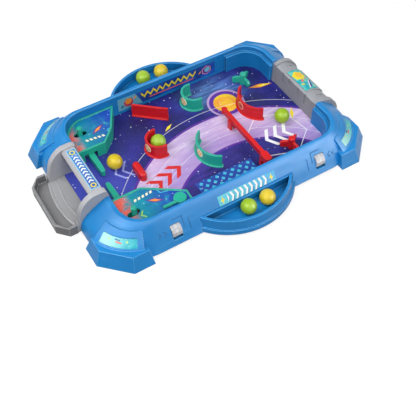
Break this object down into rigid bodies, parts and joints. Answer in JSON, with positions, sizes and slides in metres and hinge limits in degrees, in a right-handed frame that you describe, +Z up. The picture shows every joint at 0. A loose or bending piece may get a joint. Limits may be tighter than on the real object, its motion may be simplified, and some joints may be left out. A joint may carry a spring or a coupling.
{
  "type": "table-top pinball game",
  "caption": "Table-top pinball game: tray frame on corner feet, printed playfield with plug-in bumpers and spinners, thumb-lever flippers, goal, catch tray, score wheels and ball trays.",
  "frame": {"origin": "middle of the game's outline, on the table surface under its feet", "axes": "+X along the length from the goal end to the closed end, +Y to the side away from the score wheels, +Z up"},
  "size_m": [0.391, 0.299, 0.048],
  "materials": {
    "blue_plastic": "satin moulded",
    "grey_plastic": "satin moulded",
    "teal_plastic": "satin moulded",
    "red_plastic": "satin moulded",
    "sticker": "printed film",
    "printed_board": "printed board",
    "steel": "drawn",
    "white_plastic": "moulded",
    "lime_ball": "satin",
    "yellow_ball": "satin"
  },
  "bodies": {
    "game": {"frame": "blue_plastic", "base_plate": "blue_plastic", "foot_front_near": "blue_plastic", "foot_front_far": "blue_plastic", "foot_back_near": "blue_plastic", "foot_back_far": "blue_plastic", "ball_tray_near": "blue_plastic", "ball_tray_far": "blue_plastic", "goal_gate": "grey_plastic", "goal_chute": "grey_plastic", "catch_tray": "grey_plastic", "end_block": "grey_plastic", "control_pod_far": "teal_plastic", "control_pod_near": "teal_plastic", "pod_paddle_near": "teal_plastic", "bumper_cup_teal": "teal_plastic", "bumper_curve_teal": "teal_plastic", "bumper_cup_red": "red_plastic", "bumper_curve_red": "red_plastic", "bumper_plate_red": "red_plastic", "bumper_rail_red": "red_plastic", "bumper_bar_red": "red_plastic", "foot_sticker_front_near": "sticker", "foot_sticker_front_far": "sticker", "foot_sticker_back_near": "sticker", "foot_sticker_back_far": "sticker", "side_label": "sticker", "wall_label": "sticker", "goal_label": "sticker", "end_block_label": "sticker", "pod_label_far": "sticker", "pod_label_near": "sticker", "dot_cup_red": "sticker", "dot_cup_teal": "sticker", "dot_curve_teal": "sticker", "dot_curve_red": "sticker", "playfield": "printed_board", "flipper_pins": "steel", "spinner_pins": "steel", "wheel_axles": "steel", "screws": "steel", "wheel_stands": "white_plastic"},
    "flipper_far": {"flipper_lever_far": "teal_plastic"},
    "flipper_near": {"flipper_lever_near": "teal_plastic"},
    "score_left": {"score_wheel_left": "grey_plastic"},
    "score_right": {"score_wheel_right": "grey_plastic"},
    "spinner_back": {"spinner_teal": "teal_plastic"},
    "spinner_front": {"spinner_red": "red_plastic"},
    "loose_ball_field_2": {"ball_field_2": "lime_ball"},
    "loose_ball_field_3": {"ball_field_3": "lime_ball"},
    "loose_ball_near_1": {"ball_near_1": "lime_ball"},
    "loose_ball_far_1": {"ball_far_1": "lime_ball"},
    "loose_ball_field_1": {"ball_field_1": "yellow_ball"},
    "loose_ball_near_2": {"ball_near_2": "yellow_ball"},
    "loose_ball_far_2": {"ball_far_2": "yellow_ball"}
  },
  "joints": [
    {"name": "flipper_far_turn", "type": "hinge", "parent": "game", "child": "flipper_far", "pos_m": [-0.1135, 0.055, 0.012], "axis": [0, 0, 1], "range_deg": [-16, 8]},
    {"name": "flipper_near_turn", "type": "hinge", "parent": "game", "child": "flipper_near", "pos_m": [-0.118, -0.055, 0.012], "axis": [0, 0, 1], "range_deg": [-16, 16]},
    {"name": "score_left_turn", "type": "hinge", "parent": "game", "child": "score_left", "pos_m": [-0.084, -0.1065, 0.0156], "axis": [1, 0, 0], "continuous": true},
    {"name": "score_right_turn", "type": "hinge", "parent": "game", "child": "score_right", "pos_m": [0.113, -0.1065, 0.0156], "axis": [1, 0, 0], "continuous": true},
    {"name": "spinner_back_turn", "type": "hinge", "parent": "game", "child": "spinner_back", "pos_m": [0.1165, 0.06, 0.014], "axis": [0, 0, 1], "continuous": true},
    {"name": "spinner_front_turn", "type": "hinge", "parent": "game", "child": "spinner_front", "pos_m": [0.1035, -0.068, 0.014], "axis": [0, 0, 1], "continuous": true},
    {"name": "ball_field_2_lift", "type": "slide", "parent": "game", "child": "loose_ball_field_2", "axis": [0, 0, 1], "range_m": [0, 0.05]},
    {"name": "ball_field_3_lift", "type": "slide", "parent": "game", "child": "loose_ball_field_3", "axis": [0, 0, 1], "range_m": [0, 0.05]},
    {"name": "ball_near_1_lift", "type": "slide", "parent": "game", "child": "loose_ball_near_1", "axis": [0, 0, 1], "range_m": [0, 0.05]},
    {"name": "ball_far_1_lift", "type": "slide", "parent": "game", "child": "loose_ball_far_1", "axis": [0, 0, 1], "range_m": [0, 0.05]},
    {"name": "ball_field_1_lift", "type": "slide", "parent": "game", "child": "loose_ball_field_1", "axis": [0, 0, 1], "range_m": [0, 0.05]},
    {"name": "ball_near_2_lift", "type": "slide", "parent": "game", "child": "loose_ball_near_2", "axis": [0, 0, 1], "range_m": [0, 0.05]},
    {"name": "ball_far_2_lift", "type": "slide", "parent": "game", "child": "loose_ball_far_2", "axis": [0, 0, 1], "range_m": [0, 0.05]}
  ]
}
